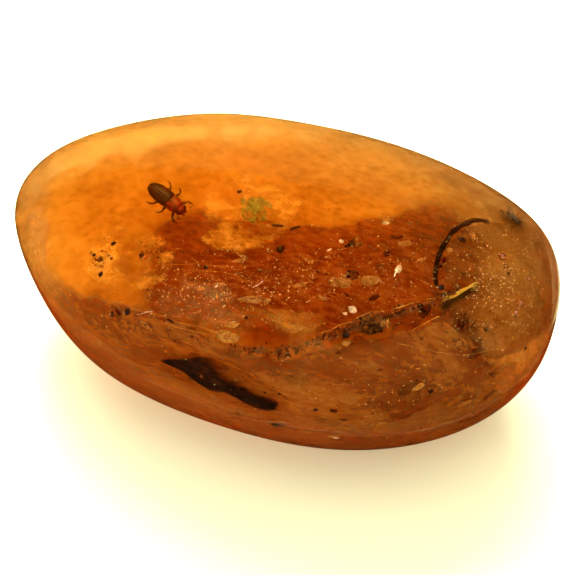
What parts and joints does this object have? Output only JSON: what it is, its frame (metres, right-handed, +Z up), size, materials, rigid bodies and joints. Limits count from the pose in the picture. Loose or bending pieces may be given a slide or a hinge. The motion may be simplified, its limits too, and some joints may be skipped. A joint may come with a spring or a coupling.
{
  "type": "polished copal pebble with sealed insects",
  "caption": "Hand-rounded, polished pebble of clear amber-orange tree resin with small insects and plant scraps sealed inside.",
  "frame": {"origin": "middle of the whole pebble's outline in plan, on the plane of its small flat spot, at z = 0", "axes": "+X along the long axis towards the broader, blunter end; +Y away from the viewer of the picture; +Z up from the flat spot"},
  "size_m": [0.044, 0.028, 0.0195],
  "materials": {
    "resin": "clear amber-orange resin, polished by hand",
    "beetle_shell": "dark red-brown shell, dull gloss",
    "insect_shell": "near-black shell, dull gloss",
    "bark": "dark rotted bark, matt",
    "wood": "torn brown wood with pale fibres",
    "leaf": "greenish-olive crinkled leaf"
  },
  "bodies": {
    "root": {"copal_lower": "resin", "copal_upper": "resin", "beetle": "beetle_shell", "ant": "insect_shell", "fly": "insect_shell", "gnat": "insect_shell", "mite": "insect_shell", "thrips_1": "insect_shell", "thrips_2": "insect_shell", "weevil": "insect_shell", "bark_sliver": "bark", "bark_crumb": "bark", "curled_rootlet": "bark", "wood_splinter": "wood", "leaf_scrap": "leaf"}
  },
  "joints": []
}
